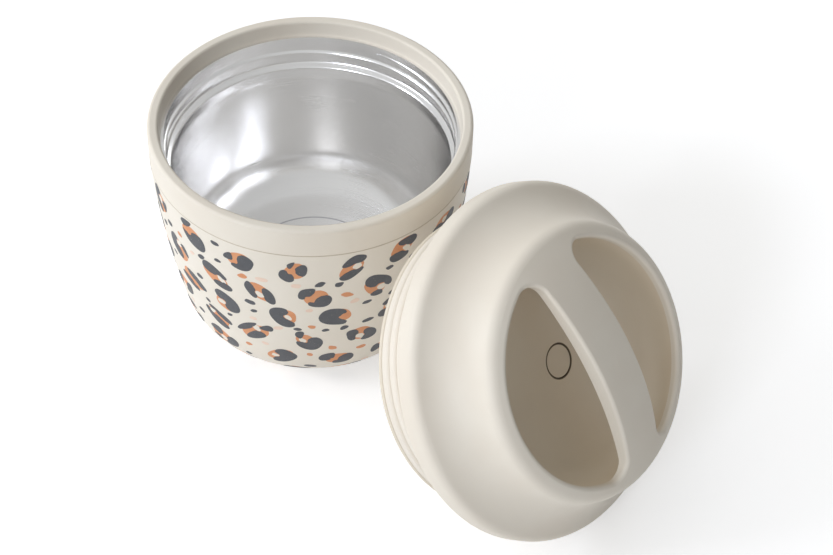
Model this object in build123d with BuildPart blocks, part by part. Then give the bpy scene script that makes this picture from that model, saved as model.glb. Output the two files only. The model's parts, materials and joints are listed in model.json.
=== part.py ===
"""Insulated food jar: a vacuum-walled steel jar and its screw-in lid, set down leaning beside it.

Lengths are millimetres and angles are degrees. The jar stands on Z = 0 with its axis on Z.
The lid is drawn along its own axis, from the face that closes on the jar's rim.
"""

from build123d import *
from math import asin, atan2, cos, degrees, radians, sin, sqrt, tan
import os

os.makedirs("parts", exist_ok=True)

# ---------------------------------------------------------------- jar, outside
jar_height = 86.1
body_radius = 55.0
seam_depth = 11.0
seam_fillet = 0.3
shell_wall = 0.8
shell_lean = 3.1
barrel_radius = 382.0
heel_radius = 19.8
foot_proud = 0.5
base_ledge = 0.9
base_lip_height = 3.2

# ---------------------------------------------------------------- jar, mouth
collar_skirt = 1.3
collar_clearance = 0.3
collar_inset_depth = 5.8
collar_rim_width = 3.6
collar_draft = 0.6
collar_rim_fillet = 1.2
collar_inner_fillet = 0.9
gasket_thickness = 0.8
gasket_width = 1.9

# ---------------------------------------------------------------- jar, inside
vessel_wall = 0.8
throat_step = 1.0
bead_depth = 18.1
bead_step = 2.1
bead_ledge_height = 1.1
bead_fall = 5.2
bead_fillet = 0.9
bead_foot_fillet = 9.0
throat_fillet = 1.2
cavity_step = 1.2
cavity_taper = 3.2
cavity_corner = 16.0
cavity_floor = 16.0
dimple_radius = 10.5
dimple_depth = 0.6

# ---------------------------------------------------------------- jar, base
plate_overlap = 0.8
plate_thickness = 0.8
seal_plug_radius = 3.0
getter_radius = 4.0
getter_height = 2.5
getter_offset = 12.0
pad_clearance = 0.3
pad_recess = 1.5

# ---------------------------------------------------------------- lid, where it lies
lid_tilt = 33.94
lid_stand_off = 6.95
lid_sideways = -15.91

# ---------------------------------------------------------------- lid, moulded shell
flange_overhang = 3.0
flange_height = 5.0
flange_foot_fillet = 1.2
crest_radius = 4.0
crest_turn = 60.0
cove_radius = 23.0
wall_lean = 10.0
lid_height = 38.4
crown_radius = 92.0
shoulder_fillet = 5.0
shoulder_wall_share = 0.98
lid_wall = 3.0
seat_lip = 0.8

# ---------------------------------------------------------------- lid, grip and recess
recess_rim_width = 5.85
recess_rim_thickness = 3.4
bar_half_width = 8.5
bar_thickness = 5.2
bar_edge_fillet = 1.2
window_corner = 5.0
bowl_depth = 13.6
bowl_side = 0.4
bowl_corner_radius = 8.5
bowl_wall = 2.2

# ---------------------------------------------------------------- lid, plug
thread_gap = 1.5
plug_wall = 2.0
plug_flange_thickness = 2.0
plug_flange_clearance = 0.1
plug_past_bead = 0.3
seal_height = 0.9
seal_proud = 0.3
seal_clearance = 0.05
seal_lip_width = 2.8
seal_lip_thickness = 0.6
seal_fillet = 0.5
base_disc_thickness = 2.0
base_spigot_height = 6.4
base_spigot_wall = 2.0
base_spigot_clearance = 0.1
insulation_clearance = 0.3
insulation_top = 1.0

# ---------------------------------------------------------------- lid, vent
button_radius = 5.5
button_clearance = 0.2
button_cap_height = 3.1
button_skirt_width = 1.1
button_skirt_height = 1.6
button_edge_fillet = 0.3
boss_wall = 2.0
boss_drop = 4.0
spring_wire_radius = 0.25
spring_clearance = 0.3
spring_turns = 5.5
stem_radius = 2.0
stem_clearance = 0.1
guide_wall = 3.3
vent_well_radius = 7.0
vent_well_depth = 2.5
vent_seal_width = 3.0
vent_seal_thickness = 1.2
retainer_width = 2.2

# ---------------------------------------------------------------- derived: jar
seam_height = jar_height - seam_depth
neck_top = jar_height - collar_inset_depth
bead_height = jar_height - bead_depth
bead_top = bead_height + bead_ledge_height
bead_foot = bead_height - bead_fall
neck_radius = body_radius - collar_skirt - collar_clearance
gasket_radius = neck_radius - gasket_width
collar_mouth_radius = body_radius - collar_rim_width
collar_throat_radius = collar_mouth_radius - collar_draft
throat_radius = collar_throat_radius - throat_step
bead_radius = throat_radius - bead_step
cavity_radius = throat_radius - cavity_step
cavity_foot_radius = cavity_radius - cavity_taper

barrel_centre = body_radius - barrel_radius * cos(radians(shell_lean))
heel_lean = asin(
    (seam_height - foot_proud + barrel_radius * sin(radians(shell_lean)) - heel_radius)
    / (barrel_radius - heel_radius)
)
base_flat_radius = barrel_centre + (barrel_radius - heel_radius) * cos(heel_lean)
base_lip_radius = base_flat_radius - base_ledge
base_opening_radius = base_lip_radius - shell_wall
plate_height = foot_proud + base_lip_height
pad_thickness = plate_height - pad_recess

# ---------------------------------------------------------------- derived: lid
flange_radius = body_radius + flange_overhang
cavity_rim_radius = flange_radius - lid_wall
cove_top_radius = (
    flange_radius
    - crest_radius * (1 - cos(radians(crest_turn)))
    - cove_radius * (cos(radians(wall_lean)) - cos(radians(crest_turn)))
)
recess_radius = cove_top_radius - recess_rim_width
crown_centre = lid_height - crown_radius
bowl_rim = crown_centre + sqrt(crown_radius**2 - recess_radius**2) - recess_rim_thickness
bowl_floor = bowl_rim - bowl_depth
bowl_lean = 2 * atan2(bowl_depth - bowl_side - bowl_corner_radius, recess_radius - bowl_corner_radius)
bowl_dish_radius = bowl_corner_radius + (recess_radius - bowl_corner_radius) / sin(bowl_lean)

plug_radius = throat_radius - thread_gap
plug_bore_radius = plug_radius - plug_wall
plug_end = bead_depth + plug_past_bead
plug_depth = plug_end - seal_height
seal_radius = plug_radius + seal_proud
base_disc_radius = plug_bore_radius - base_spigot_clearance
seal_bore_radius = base_disc_radius + seal_clearance
seal_top = plug_depth + seal_clearance
seal_end = plug_end + seal_clearance + seal_lip_thickness
base_disc_top = base_disc_thickness - plug_end
vent_well_top = vent_well_depth - plug_end
vent_well_outer_radius = vent_well_radius + base_disc_thickness

button_hole_radius = button_radius + button_clearance
skirt_radius = button_radius + button_skirt_width
skirt_bore_radius = skirt_radius + button_clearance
button_roof = bowl_floor - button_cap_height
button_foot = button_roof - button_skirt_height
boss_end = button_foot - boss_drop
stem_bore_radius = stem_radius + stem_clearance
guide_radius = stem_bore_radius + guide_wall
spring_radius = stem_radius + spring_clearance + spring_wire_radius

# ---------------------------------------------------------------- derived: the lid's place on the table
tilt_sine = sin(radians(lid_tilt))
tilt_cosine = cos(radians(lid_tilt))
seal_edge_radius = seal_radius - seal_fillet
seal_edge_depth = seal_end - seal_fillet
lid_seat_height = seal_edge_depth * tilt_sine + seal_edge_radius * tilt_cosine + seal_fillet
lid_reach = (
    body_radius + lid_stand_off + seal_edge_depth * tilt_cosine + seal_edge_radius * tilt_sine + seal_fillet
)
lid_axis = Vector(tilt_cosine, 0, tilt_sine)
lid_down = Vector(tilt_sine, 0, -tilt_cosine)
lid_origin = Vector(lid_reach, lid_sideways, lid_seat_height)
lid_section = Plane(origin=lid_origin, x_dir=lid_down, z_dir=(0, -1, 0))
lid_plane = Plane(origin=lid_origin, x_dir=lid_down, z_dir=lid_axis)
lid_turning_axis = Axis(lid_origin, lid_axis)


def barrel_side(inset, top):
    """Barrel and heel arcs of the body's wall, inset from its painted surface, from top down."""
    swing = barrel_radius - inset
    turn = heel_radius - inset
    foot = foot_proud + inset
    top_sine = sin(heel_lean) - (top - foot - turn * (1 - sin(heel_lean))) / swing
    top_lean = asin(top_sine)
    start = (barrel_centre + swing * cos(top_lean), top)
    tangent = (-sin(top_lean), -cos(top_lean))
    barrel = JernArc(start, tangent, swing, degrees(top_lean - heel_lean))
    heel = JernArc(barrel @ 1, barrel % 1, turn, degrees(heel_lean) - 90)
    return barrel, heel


def lid_side(inset):
    """Crest and cove arcs of the lid's wall, inset from its outer surface."""
    start = (flange_radius - inset, flange_height)
    crest = JernArc(start, (0, 1), crest_radius - inset, crest_turn)
    cove = JernArc(crest @ 1, crest % 1, cove_radius + inset, wall_lean - crest_turn)
    return crest, cove


# ---------------------------------------------------------------- outer shell
with BuildPart() as outer_shell:
    with BuildSketch(Plane.XZ):
        with BuildLine():
            barrel, heel = barrel_side(0, seam_height)
            Polyline(heel @ 1, (0, foot_proud), (0, seam_height), barrel @ 0)
        make_face()
    revolve(axis=Axis.Z)
    with BuildSketch(Plane.XY.offset(seam_height)):
        Circle(neck_radius)
    extrude(amount=neck_top - seam_height)
    with BuildSketch(Plane.XZ):
        with BuildLine():
            barrel, heel = barrel_side(shell_wall, seam_height - shell_wall)
            inner_foot = foot_proud + shell_wall
            Polyline(heel @ 1, (0, inner_foot), (0, seam_height - shell_wall), barrel @ 0)
        make_face()
    revolve(axis=Axis.Z, mode=Mode.SUBTRACT)
    with BuildSketch(Plane.XY.offset(seam_height - shell_wall)):
        Circle(neck_radius - shell_wall)
    extrude(amount=neck_top - seam_height + shell_wall, mode=Mode.SUBTRACT)
    with BuildSketch(Plane.XY.offset(foot_proud)):
        Circle(base_lip_radius)
    extrude(amount=base_lip_height)
    with BuildSketch(Plane.XY.offset(foot_proud)):
        Circle(base_opening_radius)
    extrude(amount=base_lip_height, mode=Mode.SUBTRACT)
    rings = outer_shell.edges().filter_by(lambda edge: edge.is_closed)
    fillet(rings.sort_by(SortBy.RADIUS)[-1], seam_fillet)

outer_shell.part.label = "outer_shell"
export_step(outer_shell.part, "parts/outer_shell.step")

# ---------------------------------------------------------------- inner vessel
with BuildPart() as inner_vessel:
    with BuildSketch(Plane.XZ) as vessel_section:
        with BuildLine():
            Polyline(
                (0, cavity_floor),
                (cavity_foot_radius, cavity_floor),
                (cavity_radius, bead_foot),
                (bead_radius, bead_height),
                (throat_radius, bead_top),
                (throat_radius, neck_top),
                (0, neck_top),
                close=True,
            )
        make_face()
        fillet(vertices().sort_by_distance((cavity_foot_radius, cavity_floor))[0], cavity_corner)
        fillet(vertices().sort_by_distance((cavity_radius, bead_foot))[0], bead_foot_fillet)
        fillet(vertices().sort_by_distance((bead_radius, bead_height))[0], bead_fillet)
        fillet(vertices().sort_by_distance((throat_radius, bead_top))[0], throat_fillet)
        cavity_section = vessel_section.sketch_local
        offset(amount=vessel_wall)
        add(cavity_section, mode=Mode.SUBTRACT)
        Rectangle(body_radius, 2 * jar_height, align=(Align.MAX, Align.CENTER), mode=Mode.SUBTRACT)
        with Locations((0, neck_top)):
            Rectangle(body_radius, jar_height, align=(Align.MIN, Align.MIN), mode=Mode.SUBTRACT)
    revolve(axis=Axis.Z)
    with BuildSketch(Plane.XY.offset(neck_top - vessel_wall)):
        Circle(neck_radius - shell_wall)
        Circle(throat_radius, mode=Mode.SUBTRACT)
    extrude(amount=vessel_wall)
    with BuildSketch(Plane.XY.offset(cavity_floor - dimple_depth - vessel_wall)):
        Circle(dimple_radius + vessel_wall)
    extrude(amount=dimple_depth)
    with BuildSketch(Plane.XY.offset(cavity_floor - dimple_depth)):
        Circle(dimple_radius)
    extrude(amount=dimple_depth, mode=Mode.SUBTRACT)

inner_vessel.part.label = "inner_vessel"
export_step(inner_vessel.part, "parts/inner_vessel.step")

# ---------------------------------------------------------------- collar ring and its gasket
with BuildPart() as collar_ring:
    with BuildSketch(Plane.XZ):
        with BuildLine():
            Polyline(
                (body_radius, seam_height),
                (body_radius, jar_height),
                (collar_mouth_radius, jar_height),
                (collar_throat_radius, neck_top),
                (gasket_radius, neck_top),
                (gasket_radius, neck_top + gasket_thickness),
                (neck_radius + collar_clearance, neck_top + gasket_thickness),
                (neck_radius + collar_clearance, seam_height),
                close=True,
            )
        make_face()
    revolve(axis=Axis.Z)
    rim_edges = collar_ring.edges().filter_by(GeomType.CIRCLE).group_by(Axis.Z)[-1].sort_by(SortBy.RADIUS)
    fillet(rim_edges[-1], collar_rim_fillet)
    rim_edges = collar_ring.edges().filter_by(GeomType.CIRCLE).group_by(Axis.Z)[-1].sort_by(SortBy.RADIUS)
    fillet(rim_edges[0], collar_inner_fillet)
    skirt_edges = collar_ring.edges().filter_by(GeomType.CIRCLE).group_by(Axis.Z)[0].sort_by(SortBy.RADIUS)
    fillet(skirt_edges[-1], seam_fillet)

collar_ring.part.label = "collar_ring"
export_step(collar_ring.part, "parts/collar_ring.step")

with BuildPart() as collar_gasket:
    with BuildSketch(Plane.XY.offset(neck_top)):
        Circle(neck_radius)
        Circle(gasket_radius, mode=Mode.SUBTRACT)
    extrude(amount=gasket_thickness)

collar_gasket.part.label = "collar_gasket"
export_step(collar_gasket.part, "parts/collar_gasket.step")

# ---------------------------------------------------------------- base
with BuildPart() as base_plate:
    with BuildSketch(Plane.XY.offset(plate_height)):
        Circle(base_lip_radius + plate_overlap)
    extrude(amount=plate_thickness)

base_plate.part.label = "base_plate"
export_step(base_plate.part, "parts/base_plate.step")

with BuildPart() as vacuum_seal:
    with BuildSketch(Plane.XY.offset(pad_thickness)):
        Circle(seal_plug_radius)
    extrude(amount=plate_height - pad_thickness)

vacuum_seal.part.label = "vacuum_seal"
export_step(vacuum_seal.part, "parts/vacuum_seal.step")

with BuildPart() as getter:
    with BuildSketch(Plane.XY.offset(plate_height + plate_thickness)):
        with Locations((getter_offset, 0)):
            Circle(getter_radius)
    extrude(amount=getter_height)

getter.part.label = "getter"
export_step(getter.part, "parts/getter.step")

with BuildPart() as base_pad:
    with BuildSketch(Plane.XY):
        Circle(base_opening_radius - pad_clearance)
    extrude(amount=pad_thickness)
    fillet(base_pad.faces().sort_by(Axis.Z)[0].edges(), foot_proud / 2)

base_pad.part.label = "base_pad"
export_step(base_pad.part, "parts/base_pad.step")

# ---------------------------------------------------------------- lid shell: flange, dome and grip bar
with BuildPart() as lid_shell:
    with BuildSketch(lid_section):
        with BuildLine():
            crest, cove = lid_side(0)
            crown = JernArc((0, lid_height), (1, 0), crown_radius, -60, mode=Mode.PRIVATE)
            wall = IntersectingLine(cove @ 1, cove % 1, crown)
            crown_turn = degrees(asin((wall @ 1).X / crown_radius))
            JernArc((0, lid_height), (1, 0), crown_radius, -crown_turn)
            Polyline((0, lid_height), (0, 0), (flange_radius, 0), crest @ 0)
        make_face()
        shoulder_turn = 90 - wall_lean - crown_turn
        shoulder_limit = shoulder_wall_share * wall.length / tan(radians(shoulder_turn / 2))
        fillet(vertices().sort_by_distance(wall @ 1)[0], min(shoulder_fillet, shoulder_limit))
        fillet(vertices().sort_by_distance((flange_radius, 0))[0], flange_foot_fillet)
    revolve(axis=lid_turning_axis)

    # hollow under the bowl's seat, with a step at the foot for the plug's flange
    with BuildSketch(lid_section):
        with BuildLine():
            crest, cove = lid_side(lid_wall)
            bowl_seat = Line((0, bowl_rim), (flange_radius, bowl_rim), mode=Mode.PRIVATE)
            wall = IntersectingLine(cove @ 1, cove % 1, bowl_seat)
            Polyline(
                wall @ 1,
                (0, bowl_rim),
                (0, 0),
                (cavity_rim_radius + seat_lip, 0),
                (cavity_rim_radius + seat_lip, plug_flange_thickness),
                (cavity_rim_radius, plug_flange_thickness),
                crest @ 0,
            )
        make_face()
    revolve(axis=lid_turning_axis, mode=Mode.SUBTRACT)

    # finger space under the bar
    with BuildSketch(lid_section):
        with BuildLine():
            underside = ThreePointArc(
                (-recess_radius, bowl_rim),
                (0, lid_height - bar_thickness),
                (recess_radius, bowl_rim),
            )
            Line(underside @ 0, underside @ 1)
        make_face()
        with Locations((-recess_radius / 2, bowl_rim + bar_thickness)):
            Rectangle(recess_radius, lid_height, mode=Mode.SUBTRACT)
    revolve(axis=lid_turning_axis, mode=Mode.SUBTRACT)

    # two windows, one on each side of the bar, with rounded edges
    with BuildSketch(lid_plane.offset(bowl_rim)):
        Circle(recess_radius)
        Rectangle(2 * flange_radius, 2 * bar_half_width, mode=Mode.SUBTRACT)
        fillet(vertices(), window_corner)
    extrude(amount=lid_height, mode=Mode.SUBTRACT)
    crown_face = lid_shell.faces().sort_by(lid_turning_axis)[-1]
    fillet([edge for rim in crown_face.inner_wires() for edge in rim.edges()], bar_edge_fillet)

lid_shell.part.label = "lid_shell"
export_step(lid_shell.part, "parts/lid_shell.step")

# ---------------------------------------------------------------- recess bowl with the button's guide
with BuildPart() as recess_bowl:
    with BuildSketch(lid_section):
        with BuildLine():
            dish = JernArc((0, bowl_floor), (1, 0), bowl_dish_radius, degrees(bowl_lean))
            corner = JernArc(dish @ 1, dish % 1, bowl_corner_radius, 90 - degrees(bowl_lean))
            outer_dish = JernArc(
                (0, bowl_floor - bowl_wall), (1, 0), bowl_dish_radius + bowl_wall, degrees(bowl_lean)
            )
            outer_corner = JernArc(
                outer_dish @ 1, outer_dish % 1, bowl_corner_radius + bowl_wall, 90 - degrees(bowl_lean)
            )
            Polyline(
                corner @ 1,
                (recess_radius, bowl_rim),
                (recess_radius + bowl_wall, bowl_rim),
                outer_corner @ 1,
            )
            Line(outer_dish @ 0, dish @ 0)
        make_face()
    revolve(axis=lid_turning_axis)
    with BuildSketch(lid_plane.offset(boss_end)):
        Circle(skirt_bore_radius + boss_wall)
    extrude(amount=bowl_floor - bowl_wall / 2 - boss_end)
    with BuildSketch(lid_plane.offset(boss_end)):
        Circle(skirt_bore_radius)
    extrude(amount=button_roof - boss_end, mode=Mode.SUBTRACT)
    with BuildSketch(lid_plane.offset(button_roof)):
        Circle(button_hole_radius)
    extrude(amount=bowl_depth, mode=Mode.SUBTRACT)

recess_bowl.part.label = "recess_bowl"
export_step(recess_bowl.part, "parts/recess_bowl.step")

# ---------------------------------------------------------------- plug body
with BuildPart() as plug_body:
    with BuildSketch(lid_plane):
        Circle(cavity_rim_radius + seat_lip - plug_flange_clearance)
        Circle(plug_bore_radius, mode=Mode.SUBTRACT)
    extrude(amount=plug_flange_thickness)
    with BuildSketch(lid_plane.offset(-plug_depth)):
        Circle(plug_radius)
        Circle(plug_bore_radius, mode=Mode.SUBTRACT)
    extrude(amount=plug_depth)

plug_body.part.label = "plug_body"
export_step(plug_body.part, "parts/plug_body.step")

# ---------------------------------------------------------------- plug base with the vent's guide
with BuildPart() as plug_base:
    with BuildSketch(lid_plane.offset(-plug_end)):
        Circle(base_disc_radius)
    extrude(amount=base_disc_thickness)
    with BuildSketch(lid_plane.offset(base_disc_top)):
        Circle(base_disc_radius)
        Circle(base_disc_radius - base_spigot_wall, mode=Mode.SUBTRACT)
    extrude(amount=base_spigot_height)
    with BuildSketch(lid_plane.offset(-plug_end)):
        Circle(vent_well_outer_radius)
    extrude(amount=vent_well_depth + base_disc_thickness)
    with BuildSketch(lid_plane.offset(-plug_end)):
        Circle(vent_well_radius)
    extrude(amount=vent_well_depth, mode=Mode.SUBTRACT)
    with BuildSketch(lid_plane.offset(vent_well_top)):
        Circle(guide_radius)
    extrude(amount=-vent_well_top)
    with BuildSketch(lid_plane.offset(-plug_end)):
        Circle(stem_bore_radius)
    extrude(amount=plug_end, mode=Mode.SUBTRACT)

plug_base.part.label = "plug_base"
export_step(plug_base.part, "parts/plug_base.step")

# ---------------------------------------------------------------- insulation
with BuildPart() as insulation_disc:
    with BuildSketch(lid_plane.offset(base_disc_top)):
        Circle(base_disc_radius - base_spigot_wall - insulation_clearance)
        Circle(vent_well_outer_radius + insulation_clearance, mode=Mode.SUBTRACT)
    extrude(amount=-insulation_top - base_disc_top)

insulation_disc.part.label = "insulation_disc"
export_step(insulation_disc.part, "parts/insulation_disc.step")

# ---------------------------------------------------------------- seal ring
with BuildPart() as seal_ring:
    with BuildSketch(lid_section):
        with BuildLine():
            Polyline(
                (seal_bore_radius, -seal_top),
                (seal_radius, -seal_top),
                (seal_radius, -seal_end),
                (seal_bore_radius - seal_lip_width, -seal_end),
                (seal_bore_radius - seal_lip_width, -plug_end - seal_clearance),
                (seal_bore_radius, -plug_end - seal_clearance),
                close=True,
            )
        make_face()
        fillet(vertices().group_by(Axis.X)[-1], seal_fillet)
    revolve(axis=lid_turning_axis)

seal_ring.part.label = "seal_ring"
export_step(seal_ring.part, "parts/seal_ring.step")

# ---------------------------------------------------------------- vent button
with BuildPart() as vent_button:
    with BuildSketch(lid_plane.offset(button_foot)):
        Circle(skirt_radius)
    extrude(amount=button_skirt_height)
    with BuildSketch(lid_plane.offset(button_roof)):
        Circle(button_radius)
    extrude(amount=button_cap_height)
    rim = vent_button.edges().filter_by(lambda edge: edge.is_closed).sort_by(lid_turning_axis)[-1]
    fillet(rim, button_edge_fillet)

vent_button.part.label = "vent_button"
export_step(vent_button.part, "parts/vent_button.step")

# ---------------------------------------------------------------- vent stem, seal and retainer
with BuildPart() as vent_stem:
    with BuildSketch(lid_plane.offset(-plug_end)):
        Circle(stem_radius)
    extrude(amount=button_foot + plug_end)

vent_stem.part.label = "vent_stem"
export_step(vent_stem.part, "parts/vent_stem.step")

with BuildPart() as vent_seal:
    with BuildSketch(lid_plane.offset(vent_well_top - vent_seal_thickness)):
        Circle(stem_radius + vent_seal_width)
        Circle(stem_radius, mode=Mode.SUBTRACT)
    extrude(amount=vent_seal_thickness)

vent_seal.part.label = "vent_seal"
export_step(vent_seal.part, "parts/vent_seal.step")

with BuildPart() as vent_retainer:
    with BuildSketch(lid_plane.offset(-plug_end)):
        Circle(stem_radius + retainer_width)
        Circle(stem_radius, mode=Mode.SUBTRACT)
    extrude(amount=vent_well_depth - vent_seal_thickness)

vent_retainer.part.label = "vent_retainer"
export_step(vent_retainer.part, "parts/vent_retainer.step")

# ---------------------------------------------------------------- vent spring
spring_height = button_foot - 2 * spring_wire_radius
spring_start = lid_plane.offset(spring_wire_radius).origin

with BuildPart() as vent_spring:
    with BuildLine():
        coil = Helix(
            spring_height / spring_turns,
            spring_height,
            spring_radius,
            center=spring_start,
            direction=lid_axis,
        )
    with BuildSketch(Plane(coil @ 0, z_dir=coil % 0)):
        Circle(spring_wire_radius)
    sweep(path=coil, is_frenet=True)

vent_spring.part.label = "vent_spring"
export_step(vent_spring.part, "parts/vent_spring.step")
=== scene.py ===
import json
import math
import random

import bpy
from mathutils import Matrix, Vector
from mathutils.geometry import delaunay_2d_cdt


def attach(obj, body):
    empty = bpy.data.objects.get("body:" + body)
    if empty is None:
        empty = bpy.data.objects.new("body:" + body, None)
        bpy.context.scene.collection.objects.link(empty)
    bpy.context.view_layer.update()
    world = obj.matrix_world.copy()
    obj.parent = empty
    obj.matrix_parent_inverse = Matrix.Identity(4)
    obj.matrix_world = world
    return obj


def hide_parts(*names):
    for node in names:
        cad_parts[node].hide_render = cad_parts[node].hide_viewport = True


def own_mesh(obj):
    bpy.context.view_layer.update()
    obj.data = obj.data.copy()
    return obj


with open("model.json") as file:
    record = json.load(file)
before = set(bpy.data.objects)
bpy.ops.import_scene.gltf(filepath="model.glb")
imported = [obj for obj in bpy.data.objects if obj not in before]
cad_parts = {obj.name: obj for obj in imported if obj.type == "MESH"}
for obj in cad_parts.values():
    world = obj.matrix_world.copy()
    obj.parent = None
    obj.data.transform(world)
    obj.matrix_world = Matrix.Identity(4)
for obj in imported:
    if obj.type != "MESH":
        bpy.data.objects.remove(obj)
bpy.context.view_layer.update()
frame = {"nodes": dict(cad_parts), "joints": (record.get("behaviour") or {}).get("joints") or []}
nodes = frame["nodes"]
MM = 0.001

# ---------------------------------------------------------------- sizes of the solids, in millimetres
SEAM_Z, BODY_R = 75.1, 55.0
BARREL_R, BARREL_LEAN = 382.0, math.radians(3.1)
HEEL_R, FOOT = 19.8, 0.5
THROAT_R = 49.8
WALL_FOOT, WALL_HEAD = 16.0, 62.0
PLUG_R = 48.3
SPRING_R, SPRING_WIRE, SPRING_HEIGHT = 2.55, 0.25, 8.025

joint = {j["name"]: j for j in frame["joints"]}
LID_O = Vector(joint["lid_turn"]["pos_m"])
LID_AXIS = Vector(joint["lid_turn"]["axis"]).normalized()
LID_DOWN = Vector((LID_AXIS.z, 0.0, -LID_AXIS.x))
LID = Matrix((LID_DOWN, LID_AXIS.cross(LID_DOWN), LID_AXIS)).transposed().to_4x4()
LID.translation = LID_O


# ---------------------------------------------------------------- materials
def new_material(name):
    material = bpy.data.materials.new(name)
    material.use_nodes = True
    tree = material.node_tree
    return material, tree, tree.nodes["Principled BSDF"]


def node(tree, kind, **values):
    made = tree.nodes.new(kind)
    for key, value in values.items():
        if key in made.inputs:
            made.inputs[key].default_value = value
        else:
            setattr(made, key, value)
    return made


def linear(r, g, b):
    """An sRGB colour of 0 to 255 as the linear colour that Blender works in."""
    def one(c):
        c /= 255
        return c / 12.92 if c <= 0.04045 else ((c + 0.055) / 1.055) ** 2.4
    return one(r), one(g), one(b), 1.0


def feed(tree, socket, value):
    """Links another node's output to an input, or sets the input to a value."""
    if isinstance(value, bpy.types.NodeSocket):
        tree.links.new(value, socket)
    else:
        socket.default_value = value


def feed_all(tree, shader, **values):
    """Feeds a shader's inputs by name, with _ for a space."""
    for name, value in values.items():
        feed(tree, shader.inputs[name.replace("_", " ")], value)


def maths(tree, operation, *values, clamp=False):
    made = node(tree, "ShaderNodeMath", operation=operation, use_clamp=clamp)
    for socket, value in zip(made.inputs, values):
        feed(tree, socket, value)
    return made.outputs["Value"]


def vector_maths(tree, operation, *values, result="Vector"):
    made = node(tree, "ShaderNodeVectorMath", operation=operation)
    for socket, value in zip(made.inputs, values):
        feed(tree, socket, value)
    return made.outputs[result]


def object_place(tree):
    return node(tree, "ShaderNodeTexCoord").outputs["Object"]


def split(tree, vector):
    parts = node(tree, "ShaderNodeSeparateXYZ")
    tree.links.new(vector, parts.inputs["Vector"])
    return parts.outputs


def joined(tree, **parts):
    made = node(tree, "ShaderNodeCombineXYZ")
    for axis, value in parts.items():
        tree.links.new(value, made.inputs[axis])
    return made.outputs["Vector"]


def away_from(tree, value, level):
    return maths(tree, "ABSOLUTE", maths(tree, "SUBTRACT", value, level))


def noise(tree, scale, detail=2.0, roughness=0.5, vector=None):
    if vector is None:
        vector = object_place(tree)
    made = node(tree, "ShaderNodeTexNoise", Scale=scale, Detail=detail, Roughness=roughness)
    tree.links.new(vector, made.inputs["Vector"])
    return made.outputs["Fac"]


def spread(tree, value, low, high, start=0.3, end=0.7):
    """The value's range from start to end as one from low to high. A noise mostly lies in 0.3 to 0.7."""
    limits = {"From Min": start, "From Max": end, "To Min": low, "To Max": high}
    made = node(tree, "ShaderNodeMapRange", **limits)
    tree.links.new(value, made.inputs["Value"])
    return made.outputs["Result"]


def blend_colours(tree, factor, one, other):
    made = node(tree, "ShaderNodeMix", data_type="RGBA")
    for index, value in ((0, factor), (6, one), (7, other)):
        feed(tree, made.inputs[index], value)
    return made.outputs[2]


def cloudy(tree, scale, detail, light, dark):
    return blend_colours(tree, spread(tree, noise(tree, scale, detail), 0.0, 1.0), light, dark)


def bump(tree, height, distance, strength, normal=None):
    made = node(tree, "ShaderNodeBump", Strength=strength, Distance=distance)
    tree.links.new(height, made.inputs["Height"])
    if normal is not None:
        tree.links.new(normal, made.inputs["Normal"])
    return made.outputs["Normal"]


def moulded(name, light, dark, roughness, grain=5200.0, coat=0.0):
    """Satin moulded plastic: a cloudy colour, an uneven sheen and the fine grain of a blasted mould."""
    cloud, sheen, wave = 38.0, 160.0, 90.0
    uneven = 0.035
    material, tree, shader = new_material(name)
    rough = spread(tree, noise(tree, sheen, 4.0, 0.6), roughness - uneven, roughness + uneven)
    fine = bump(tree, noise(tree, grain), distance=0.00003, strength=0.25)
    relief = bump(tree, noise(tree, wave), distance=0.00006, strength=0.25, normal=fine)
    feed_all(tree, shader, Base_Color=cloudy(tree, cloud, 3.0, light, dark), Roughness=rough,
             Normal=relief, IOR=1.47, Specular_IOR_Level=0.27, Coat_Weight=coat, Coat_Roughness=0.35)
    return material


def darken(material, mask, shade):
    """Paints shade over a material's colour where the mask is 1."""
    tree = material.node_tree
    base = tree.nodes["Principled BSDF"].inputs["Base Color"]
    tree.links.new(blend_colours(tree, mask, base.links[0].from_socket, shade), base)


def painted_seam_shade(material, shade):
    """Painted shade along the groove between the collar and the body: the colour is darkened within a
    fraction of a millimetre of the seam's height.
    """
    whole, faded = 0.0001, 0.0003  # metres above and below the seam
    tree = material.node_tree
    distance = away_from(tree, split(tree, object_place(tree))["Z"], SEAM_Z * MM)
    darken(material, spread(tree, distance, 1.0, 0.0, whole, faded), shade)


def darkened_gap(material, start, end, shade):
    """The shadow in the gap round the button, between two distances from the lid's axis, in metres."""
    edge = 0.0001
    tree = material.node_tree
    away = vector_maths(tree, "SUBTRACT", object_place(tree), LID_O)
    across = vector_maths(tree, "CROSS_PRODUCT", away, LID_AXIS)
    radius = vector_maths(tree, "LENGTH", across, result="Value")
    rising = spread(tree, radius, 0.0, 1.0, start - edge, start)
    falling = spread(tree, radius, 1.0, 0.0, end, end + edge)
    darken(material, maths(tree, "MULTIPLY", rising, falling), shade)


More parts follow.
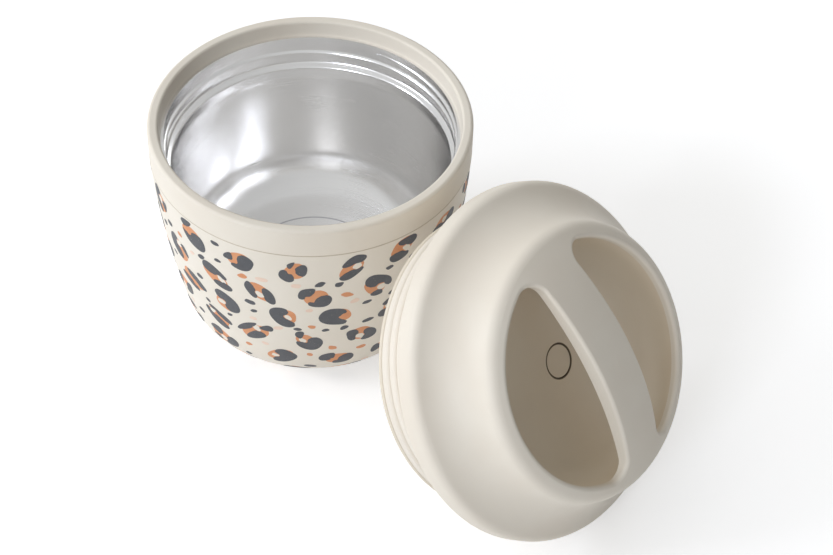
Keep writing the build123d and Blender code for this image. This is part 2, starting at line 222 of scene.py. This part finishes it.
def turned(name, light, dark, roughness, lines, drawn_in=0.0, groove=0.0):
    """Spun and polished metal: fine rings about the jar's axis, in its colour, gloss and relief,
    the slight barrel of a drawn wall, and one groove turned at a radius, both in metres, with painted
    shade darkening the groove."""
    smears, uneven = 46.0, 0.03
    whole, faded, depth = 0.00015, 0.00045, 0.00006  # metres from the groove, and its depth
    material, tree, shader = new_material(name)
    parts = split(tree, object_place(tree))
    flat = joined(tree, X=parts["X"], Y=parts["Y"])
    radius = vector_maths(tree, "LENGTH", flat, result="Value")
    line = noise(tree, lines, 3.0, 0.65, joined(tree, X=radius, Z=parts["Z"]))
    colour = blend_colours(tree, spread(tree, line, 0.0, 1.0), light, dark)
    relief = None
    if drawn_in:
        height = spread(tree, parts["Z"], -math.pi, math.pi, WALL_FOOT * MM, WALL_HEAD * MM)
        relief = bump(tree, maths(tree, "COSINE", height), distance=-drawn_in, strength=1.0)
    if groove:
        groove_and_shade = spread(tree, away_from(tree, radius, groove), 1.0, 0.0, whole, faded)
        # painted shade: the turned groove's colour is darkened to grey where its shadow falls; the bump
        # gives its relief
        colour = blend_colours(tree, groove_and_shade, colour, linear(196, 196, 199))
        relief = bump(tree, groove_and_shade, distance=-depth, strength=0.6, normal=relief)
    smear = spread(tree, noise(tree, smears, 3.0), roughness - uneven, roughness + uneven)
    rough = maths(tree, "ADD", spread(tree, line, -uneven, uneven), smear)
    relief = bump(tree, line, distance=0.00001, strength=0.04, normal=relief)
    feed_all(tree, shader, Base_Color=colour, Roughness=rough, Normal=relief, Metallic=1.0)
    return material


def printed(name, colour, faded):
    """A transfer print on the paint: flat ink with fine pinholes where the paint shows through."""
    clouds, pinholes, sheen, grain = 220.0, 3800.0, 700.0, 5200.0
    material, tree, shader = new_material(name)
    ink = cloudy(tree, clouds, 3.0, colour, faded)
    speck = spread(tree, noise(tree, pinholes, 1.0), 0.0, 0.75, start=0.74, end=0.8)
    colour = blend_colours(tree, speck, ink, linear(228, 221, 208))
    rough = spread(tree, noise(tree, sheen), 0.44, 0.54)
    relief = bump(tree, noise(tree, grain), distance=0.00002, strength=0.2)
    feed_all(tree, shader, Base_Color=colour, Roughness=rough, Normal=relief)
    return material


# each surface's clouds run from the first colour to the second
cream = linear(235, 227, 212), linear(231, 221, 205)
plug_cream = linear(235, 227, 214), linear(231, 222, 207)
collar_cream = linear(237, 229, 214), linear(233, 223, 207)
# painted shade: the bowl of the recess and the button in it take a darker, warmer copy of the cream, for
# the shade in the recess
recess_shaded_cream = linear(229, 216, 194), linear(225, 210, 187)
paint_cream = linear(238, 230, 215), linear(234, 225, 209)
rubber_cream = linear(228, 218, 200), linear(223, 212, 193)
foam_white = linear(240, 240, 236), linear(230, 230, 226)

plastic = moulded("moulded_cream_plastic", *cream, 0.46)
plug_plastic = moulded("moulded_plug_plastic", *plug_cream, 0.44)
collar_plastic = moulded("moulded_collar_plastic", *collar_cream, 0.46)
shaded_bowl_plastic = moulded("moulded_shaded_bowl_plastic", *recess_shaded_cream, 0.46)
shaded_button_plastic = moulded("moulded_shaded_button_plastic", *recess_shaded_cream, 0.44)
paint = moulded("painted_cream_steel", *paint_cream, 0.4, grain=3600.0, coat=0.12)
rubber = moulded("cream_silicone", *rubber_cream, 0.6, grain=4400.0)
foam = moulded("white_foam", *foam_white, 0.8, grain=900.0)
steel = turned("spun_steel", linear(245, 244, 243), linear(241, 240, 239), 0.24, 2400.0,
               drawn_in=0.0004, groove=0.0241)
getter_metal = turned("sintered_getter", linear(150, 150, 148), linear(120, 120, 118), 0.55, 2600.0)
wire = turned("drawn_spring_wire", linear(200, 200, 200), linear(170, 170, 172), 0.3, 5200.0)
charcoal = printed("print_charcoal_ink", linear(69, 71, 75), linear(77, 79, 83))
orange = printed("print_orange_ink", linear(216, 143, 94), linear(221, 153, 106))
peach = printed("print_peach_ink", linear(238, 210, 188), linear(240, 216, 196))

# painted shade: a darker line along the seam's groove, and the painted shadow in the gap round the button
seam_shade, gap_shade = linear(200, 187, 166), linear(112, 98, 78)
painted_seam_shade(collar_plastic, seam_shade)
painted_seam_shade(paint, seam_shade)
darkened_gap(shaded_bowl_plastic, 0.0, 0.0059, gap_shade)
darkened_gap(shaded_button_plastic, 0.0053, 0.01, gap_shade)

finish = {
    "collar_ring": collar_plastic, "collar_gasket": rubber, "outer_shell": paint, "inner_vessel": steel,
    "base_plate": steel, "vacuum_seal": getter_metal, "getter": getter_metal, "base_pad": rubber,
    "seal_ring": rubber, "lid_shell": plastic, "recess_bowl": shaded_bowl_plastic, "plug_body": plug_plastic,
    "plug_base": plug_plastic, "insulation_disc": foam, "vent_button": shaded_button_plastic,
    "vent_stem": plug_plastic, "vent_seal": rubber, "vent_retainer": plug_plastic, "vent_spring": wire,
}
for name, material in finish.items():
    nodes[name].data.materials.clear()
    nodes[name].data.materials.append(material)


# ---------------------------------------------------------------- meshes
def new_object(name, data):
    made = bpy.data.objects.new(name, data)
    bpy.context.scene.collection.objects.link(made)
    return made


def add_piece(name, points, faces, material, body):
    mesh = bpy.data.meshes.new(name)
    mesh.from_pydata(points, [], faces)
    mesh.validate()
    mesh.materials.append(material)
    mesh.shade_smooth()
    piece = new_object(name, mesh)
    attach(piece, body)
    return piece


def tube(rings, matrix):
    """Points and faces of a closed tube through rings of points, which are in millimetres."""
    n, last = len(rings[0]), len(rings) - 1
    points = [matrix @ (Vector(place) * MM) for ring in rings for place in ring]
    faces = []
    for i in range(last):
        for k in range(n):
            a, b = i * n + k, i * n + (k + 1) % n
            faces.append((a, a + n, b + n, b))
    faces.append(tuple(range(n)))
    faces.append(tuple(last * n + k for k in range(n))[::-1])
    return points, faces


def about_axis(radius, angle, z):
    return radius * math.cos(angle), radius * math.sin(angle), z


THREAD_STEPS, THREAD_TAPER = 160, 0.12  # rings in a turn, and the part of a turn in which it rises
THREAD_SINK = 0.05                      # how far a rib's foot lies below the surface, in millimetres


def helix_rib(section, base, start, pitch, turns, begin, matrix):
    """A screw thread: a closed section of (height, along) that turns about the axis of matrix."""
    steps = int(turns * THREAD_STEPS)
    rings = []
    for i in range(steps + 1):
        t = i / steps
        angle = begin + 2 * math.pi * turns * t
        run_out = min(1.0, min(t, 1 - t) * turns / THREAD_TAPER)
        height = math.sin(run_out * math.pi / 2) ** 0.8
        ring = []
        for rise, along in section:
            radius = base + rise * (height if abs(rise) > THREAD_SINK else 1.0)
            z = start + pitch * turns * t + along * (0.35 + 0.65 * height)
            ring.append(about_axis(radius, angle, z))
        rings.append(ring)
    return tube(rings, matrix)


def rounded_rib(height, crest, foot, count=7):
    """Section of a thread with a rounded crest, from below the surface and back."""
    side = []
    for k in range(count):
        turn = math.pi * k / (count - 1)
        across = -math.cos(turn)
        up = math.sin(turn) ** 0.6
        width = foot + (crest - foot) * up
        side.append((height * up, across * width / 2))
    return [(-THREAD_SINK, -foot / 2)] + side + [(-THREAD_SINK, foot / 2)]


# the neck's thread stands inwards, so its section is turned over
inward = [(-rise, along) for rise, along in rounded_rib(height=0.8, crest=0.5, foot=1.8)][::-1]
points, faces = helix_rib(inward, THROAT_R, start=70.4, pitch=3.8, turns=1.8,
                          begin=math.radians(174), matrix=Matrix.Identity(4))
add_piece("neck_thread", points, faces, steel, "jar")

outward = rounded_rib(height=0.66, crest=0.9, foot=2.2)
points, faces = helix_rib(outward, PLUG_R, start=-16.3, pitch=3.35, turns=2.5,
                          begin=math.radians(100), matrix=LID)
add_piece("plug_thread", points, faces, plug_plastic, "lid")


def coil(radius, wire, height, turns, matrix):
    """A compression spring on the axis of matrix, whose turns lie closer at both ends."""
    closed, sides = 0.6, 12
    steps = int(turns * 48)
    rings = []
    for i in range(steps + 1):
        t = i / steps
        angle = 2 * math.pi * turns * t
        z = wire + (height - 2 * wire) * (t - closed * math.sin(2 * math.pi * t) / (2 * math.pi))
        ring = []
        for k in range(sides):
            side = 2 * math.pi * k / sides
            ring.append(about_axis(radius + wire * math.cos(side), angle, z + wire * math.sin(side)))
        rings.append(ring)
    return tube(rings, matrix)


# the spring, which gives way under the button, is drawn here as a coil in place of the CAD solid
points, faces = coil(SPRING_R, SPRING_WIRE, SPRING_HEIGHT, turns=5.5, matrix=LID)
spring = add_piece("spring_coil", points, faces, wire, "lid")
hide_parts("vent_spring")
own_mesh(spring)

# ---------------------------------------------------------------- the print on the body, in millimetres
ROW_PITCH, COLUMN_PITCH = 12.6, 18.8
FIRST_ROW, LAST_ROW = 7.0, 74           # distances down the wall from the seam
ROW_SHIFT, COLUMN_SHIFT = 1.8, 0.2      # how far a spot may leave its row, and its part of a column
PLACES_TRIED, ROOM_NEEDED = 10, 11.8
SEAM_MARGIN = 0.8
SPOT_REACH, DOT_REACH = 7.2, 3.6        # how near another small spot's rim may come to its centre
SPOT_LONGER, LOWER = 0.82, 1.25         # distances are weighed by these, as spots are wider than high
DOTS_TRIED, DOT_GAP = 5200, 0.3
FIRST_DOT, LAST_DOT = 3.4, 76
CHARCOAL_UP_TO, ORANGE_UP_TO = 0.5, 0.8 # shares of the small spots, the rest is peach
PATCH_STEP, PATCH_MARGIN = 1.6, 0.6     # pitch of the points inside a patch, least distance to its rim
FILM = 0.05
OFF_WALL = {"orange": 0.03, "hole": 0.042, "charcoal": 0.054, "dot": 0.05}
LOBE_STEP = 0.006                       # each lobe of a spot lies that much above the one before

random.seed(20)
centre_r = BODY_R - BARREL_R * math.cos(BARREL_LEAN)
centre_z = SEAM_Z + BARREL_R * math.sin(BARREL_LEAN)
heel_lean = math.asin((centre_z - FOOT - HEEL_R) / (BARREL_R - HEEL_R))
heel_start = BARREL_R * (heel_lean - BARREL_LEAN)
heel_r = centre_r + (BARREL_R - HEEL_R) * math.cos(heel_lean)
heel_z = centre_z - (BARREL_R - HEEL_R) * math.sin(heel_lean)


def profile(way):
    """Radius, height and lean of the painted wall, at a distance down it from the seam."""
    if way < heel_start:
        lean = BARREL_LEAN + way / BARREL_R
        return centre_r + BARREL_R * math.cos(lean), centre_z - BARREL_R * math.sin(lean), lean
    lean = heel_lean + (way - heel_start) / HEEL_R
    return heel_r + HEEL_R * math.cos(lean), heel_z - HEEL_R * math.sin(lean), lean


def on_wall(angle, way, off):
    radius, z, lean = profile(way)
    return Vector(about_axis(radius + off * math.cos(lean), angle, z - off * math.sin(lean))) * MM


def wobble(amount):
    """A factor near 1 that wavers with the angle, with two to five waves in a turn."""
    terms = [(k, random.uniform(-1, 1) * amount / (k - 0.6), random.uniform(0, 6.28))
             for k in (2, 3, 4, 5)]
    return lambda t: 1 + sum(a * math.cos(k * t + p) for k, a, p in terms)


def blob(cx, cy, a, b, turn, rough, count=34):
    """An uneven ellipse with half axes a and b, turned about its centre."""
    shape = wobble(rough)
    c, s = math.cos(turn), math.sin(turn)
    outline = []
    for i in range(count):
        t = 2 * math.pi * i / count
        x, y = a * shape(t) * math.cos(t), b * shape(t) * math.sin(t)
        outline.append((cx + x * c - y * s, cy + x * s + y * c))
    return outline


def lobe(a, b, hole, begin, sweep):
    """A crescent between a spot's rim and its hole, over part of the turn, with round ends."""
    count = 26
    hole_x, hole_y, hole_a, hole_b = hole
    outer, inner = wobble(0.13), wobble(0.26)
    outside, inside = [], []
    for i in range(count + 1):
        u = i / count
        t = begin + sweep * u
        x1, y1 = a * outer(t) * math.cos(t), b * outer(t) * math.sin(t)
        x0 = hole_x + hole_a * inner(t) * math.cos(t)
        y0 = hole_y + hole_b * inner(t) * math.sin(t)
        full = (1 - (2 * u - 1) ** 6) ** 0.5
        mx, my, hx, hy = (x0 + x1) / 2, (y0 + y1) / 2, (x1 - x0) / 2 * full, (y1 - y0) / 2 * full
        outside.append((mx + hx, my + hy))
        inside.append((mx - hx, my - hy))
    return outside + inside[-2:0:-1]


def turned_by(outline, turn):
    c, s = math.cos(turn), math.sin(turn)
    return [(x * c - y * s, x * s + y * c) for x, y in outline]


def rosette():
    """Outlines of one spot: an orange heart, paint showing through it, and charcoal lobes round it."""
    a, b = random.uniform(5.6, 7.6), random.uniform(4.0, 5.1)
    turn = math.radians(random.choice((-1, 1)) * random.uniform(5, 55))
    side = random.uniform(0, 2 * math.pi)
    off = random.uniform(0.15, 0.38)
    hole_x, hole_y = off * a * math.cos(side), off * b * math.sin(side)
    hole_a, hole_b = a * random.uniform(0.2, 0.32), b * random.uniform(0.22, 0.36)
    lobes = random.choice(((150, 115), (205, 70), (235,), (120, 90, 50), (165, 125), (130, 130)))
    sweeps = [math.radians(sweep + random.uniform(-12, 12)) for sweep in lobes]
    gap = (2 * math.pi - sum(sweeps)) / len(sweeps)
    dark, at = [], side + gap / 2
    for sweep in sweeps:
        dark.append(turned_by(lobe(a, b, (hole_x, hole_y, hole_a, hole_b), at, sweep), turn))
        at += sweep + gap
    lean = side + random.uniform(1.6, 4.6)
    heart = blob(0.14 * a * math.cos(lean), 0.16 * b * math.sin(lean), a * 0.77, b * 0.8, 0.0, rough=0.16)
    show = blob(hole_x * 1.25, hole_y * 1.25, hole_a * 0.95, hole_b, 0.0, rough=0.25, count=24)
    shows = random.random() < 0.75
    return turned_by(heart, turn), turned_by(show, turn) if shows else None, dark


def inside(x, y, outline):
    odd = False
    for (x1, y1), (x2, y2) in zip(outline, outline[1:] + outline[:1]):
        if (y1 > y) != (y2 > y) and x < (x2 - x1) * (y - y1) / (y2 - y1) + x1:
            odd = not odd
    return odd


def add_patch(store, outline, angle, way, off):
    """Triangulates a flat outline, lays it on the wall about (angle, way) and stores its faces."""
    flat = [Vector(p) for p in outline]
    edges = [(i, (i + 1) % len(flat)) for i in range(len(flat))]
    xs, ys = [p.x for p in flat], [p.y for p in flat]
    y = math.floor(min(ys) / PATCH_STEP) * PATCH_STEP
    while y < max(ys):
        x = math.floor(min(xs) / PATCH_STEP) * PATCH_STEP
        while x < max(xs):
            near = min(math.hypot(x - p.x, y - p.y) for p in flat)
            if near > PATCH_MARGIN and inside(x, y, outline):
                flat.append(Vector((x, y)))
            x += PATCH_STEP
        y += PATCH_STEP
    made, _, triangles, _, _, _ = delaunay_2d_cdt(flat, edges, [], 1, 1e-5)
    points, faces = store
    first, radius = len(points), profile(way)[0]
    points.extend(on_wall(angle + p.x / radius, way - p.y, off) for p in made)
    faces.extend([first + i for i in t] for t in triangles)


def round_wall(angle, other, radius):
    """Distance round the wall from one angle to another, with its sign."""
    return ((angle - other + math.pi) % (2 * math.pi) - math.pi) * radius


def room(taken, angle, down, radius):
    """Distance from a place on the wall to the nearest spot."""
    gaps = [math.hypot(round_wall(angle, other, radius), down - there) for other, there, _ in taken]
    return min(gaps, default=math.inf)


def covered(taken, angle, down, radius, size):
    """Whether a small spot of that size would come too near to one that is there."""
    for other, there, reach in taken:
        side = round_wall(angle, other, radius) * (SPOT_LONGER if reach > DOT_REACH else 1)
        if math.hypot(side, (down - there) * LOWER) < reach + size + DOT_GAP:
            return True
    return False


inks = {"orange": orange, "hole": paint, "charcoal": charcoal, "peach": peach}
layers = {ink: ([], []) for ink in inks}
taken = []
row, way = 0, FIRST_ROW
while way < LAST_ROW:
    radius = profile(way)[0]
    count = round(2 * math.pi * radius / COLUMN_PITCH)
    for i in range(count):
        places = []
        for _ in range(PLACES_TRIED):
            column = i + 0.5 * (row % 2) + random.uniform(-COLUMN_SHIFT, COLUMN_SHIFT)
            angle = 2 * math.pi * column / count
            down = way + random.uniform(-ROW_SHIFT, ROW_SHIFT)
            places.append((room(taken, angle, down, radius), angle, down))
        space, angle, down = max(places)
        # drawn before the test, so that leaving one out doesn't change the next
        heart, hole, dark = rosette()
        if space < ROOM_NEEDED:
            continue
        down = max(down, max(y for outline in dark + [heart] for _, y in outline) + SEAM_MARGIN)
        add_patch(layers["orange"], heart, angle, down, OFF_WALL["orange"])
        if hole:
            add_patch(layers["hole"], hole, angle, down, OFF_WALL["hole"])
        for k, outline in enumerate(dark):
            add_patch(layers["charcoal"], outline, angle, down, OFF_WALL["charcoal"] + LOBE_STEP * k)
        taken.append((angle, down, SPOT_REACH))
    row += 1
    way += ROW_PITCH

for _ in range(DOTS_TRIED):
    angle, down = random.uniform(0, 2 * math.pi), random.uniform(FIRST_DOT, LAST_DOT)
    size = random.uniform(0.9, 1.6)
    if covered(taken, angle, down, profile(down)[0], size):
        continue
    pick = random.random()
    ink = "charcoal" if pick < CHARCOAL_UP_TO else "orange" if pick < ORANGE_UP_TO else "peach"
    outline = blob(0, 0, size * random.uniform(1.1, 1.5), size * 0.8, random.uniform(-0.5, 0.5),
                   rough=0.2, count=20)
    add_patch(layers[ink], outline, angle, down, OFF_WALL["dot"])
    taken.append((angle, down, DOT_REACH))

for ink, (points, faces) in layers.items():
    piece = add_piece("print_" + ink, points, faces, inks[ink], "jar")
    film = piece.modifiers.new("film", "SOLIDIFY")
    film.thickness = FILM * MM
    film.offset = -1.0
    edge = piece.modifiers.new("edge", "EDGE_SPLIT")
    edge.split_angle = math.radians(40)


# ---------------------------------------------------------------- stage
def rays(tree, *kinds):
    """1 for light rays of one of these kinds, else 0."""
    outputs = node(tree, "ShaderNodeLightPath").outputs
    made = outputs[kinds[0]]
    for kind in kinds[1:]:
        made = maths(tree, "MAXIMUM", made, outputs[kind])
    return made


FLOOR_HALF, FLOOR_DROP = 6, 0.00004  # metres
FLOOR_LIFT = 0.41
square = (-1, -1), (1, -1), (1, 1), (-1, 1)
corners = [(x * FLOOR_HALF, y * FLOOR_HALF, -FLOOR_DROP) for x, y in square]
mesh = bpy.data.meshes.new("floor")
mesh.from_pydata(corners, [], [(0, 1, 2, 3)])
floor = new_object("floor", mesh)
material, tree, shader = new_material("white_floor")
feed_all(tree, shader, Base_Color=(0.87, 0.86, 0.845, 1), Roughness=0.9, Specular_IOR_Level=0.1)
# the floor's own light whitens it in the picture and in reflections, and lights nothing
lift = node(tree, "ShaderNodeEmission", Color=(1, 1, 1, 1), Strength=FLOOR_LIFT)
choose = node(tree, "ShaderNodeMixShader")
feed(tree, choose.inputs["Fac"], rays(tree, "Is Camera Ray", "Is Glossy Ray"))
tree.links.new(lift.outputs["Emission"], choose.inputs[2])
both = node(tree, "ShaderNodeAddShader")
tree.links.new(shader.outputs["BSDF"], both.inputs[0])
tree.links.new(choose.outputs["Shader"], both.inputs[1])
tree.links.new(both.outputs["Shader"], tree.nodes["Material Output"].inputs["Surface"])
mesh.materials.append(material)

# ---------------------------------------------------------------- light
world = bpy.data.worlds.new("studio")
world.use_nodes = True
bpy.context.scene.world = world
tree = world.node_tree
sky = tree.nodes["Background"]


def compass(azimuth, height):
    """A direction from its azimuth and its height above the floor, in degrees."""
    azimuth, height = math.radians(azimuth), math.radians(height)
    return math.cos(height) * math.cos(azimuth), math.cos(height) * math.sin(azimuth), math.sin(height)


def dome(level, lobes, horizon=0.0):
    """Light of a studio's white walls: an even level, broad lobes that fade to their sides,
    each with its azimuth, height and strength, and a pale band along the horizon."""
    place = node(tree, "ShaderNodeTexCoord").outputs["Generated"]
    total = level
    for azimuth, height, strength in lobes:
        facing = vector_maths(tree, "DOT_PRODUCT", place, compass(azimuth, height), result="Value")
        soft = maths(tree, "POWER", maths(tree, "MAXIMUM", facing, 0.0), 2.0)
        total = maths(tree, "MULTIPLY_ADD", soft, strength, total)
    if horizon:
        low = maths(tree, "SUBTRACT", 1.0, split(tree, place)["Z"], clamp=True)
        band = maths(tree, "POWER", low, 6.0)
        total = maths(tree, "MULTIPLY_ADD", band, horizon, total, clamp=True)
    return total


# the camera and reflections see the white studio; matt surfaces take a softer light, from the left
lit = dome(0.06, [(180, 30, 0.95), (270, 30, 0.46), (0, 90, 0.13), (80, 25, 0.06)])
shown = dome(0.45, [(90, 35, 0.12), (180, 35, 0.2), (270, 35, 0.22), (0, 35, 0.06)], horizon=0.5)
choose = node(tree, "ShaderNodeMix", data_type="FLOAT")
feed(tree, choose.inputs[0], rays(tree, "Is Camera Ray", "Is Glossy Ray", "Is Transmission Ray"))
feed(tree, choose.inputs[2], lit)
feed(tree, choose.inputs[3], shown)
tree.links.new(choose.outputs[0], sky.inputs["Strength"])
sky.inputs["Color"].default_value = (0.99, 1.0, 1.005, 1)

LAMP_AIM = Vector((0.05, 0.0, 0.05))  # a point between the jar and its lid, in metres
LAMP_AWAY = 3.6


def softbox(name, azimuth, height, size, power, colour):
    """A soft lamp in that direction from the point it is turned to."""
    lamp = bpy.data.lights.new(name, "AREA")
    lamp.shape = "RECTANGLE"
    lamp.size = lamp.size_y = size
    lamp.energy = power
    lamp.color = colour
    holder = new_object(name, lamp)
    way = Vector(compass(azimuth, height))
    holder.location = LAMP_AIM + way * LAMP_AWAY
    holder.rotation_mode = "QUATERNION"
    holder.rotation_quaternion = way.to_track_quat("Z", "Y")


daylight = (0.925, 0.985, 1.11)
softbox("key", 226, 28, size=1.06, power=34.8, colour=daylight)
softbox("front", 278, 26, size=1.06, power=33.0, colour=daylight)
softbox("back", 106, 27, size=1.2, power=11.0, colour=(0.95, 0.985, 1.04))

# ---------------------------------------------------------------- camera
camera = bpy.data.cameras.new("camera")
camera.lens = 86.4295
camera.sensor_width = 36.0
camera.sensor_fit = "HORIZONTAL"
camera.clip_start, camera.clip_end = 0.02, 30.0
holder = new_object("camera", camera)
holder.location = (0.33012, -0.38647, 0.53340)
holder.rotation_euler = [math.radians(a) for a in (44.0909, -1.27461, 37.6032)]
bpy.context.scene.camera = holder

bpy.context.scene.view_settings.view_transform = "Standard"
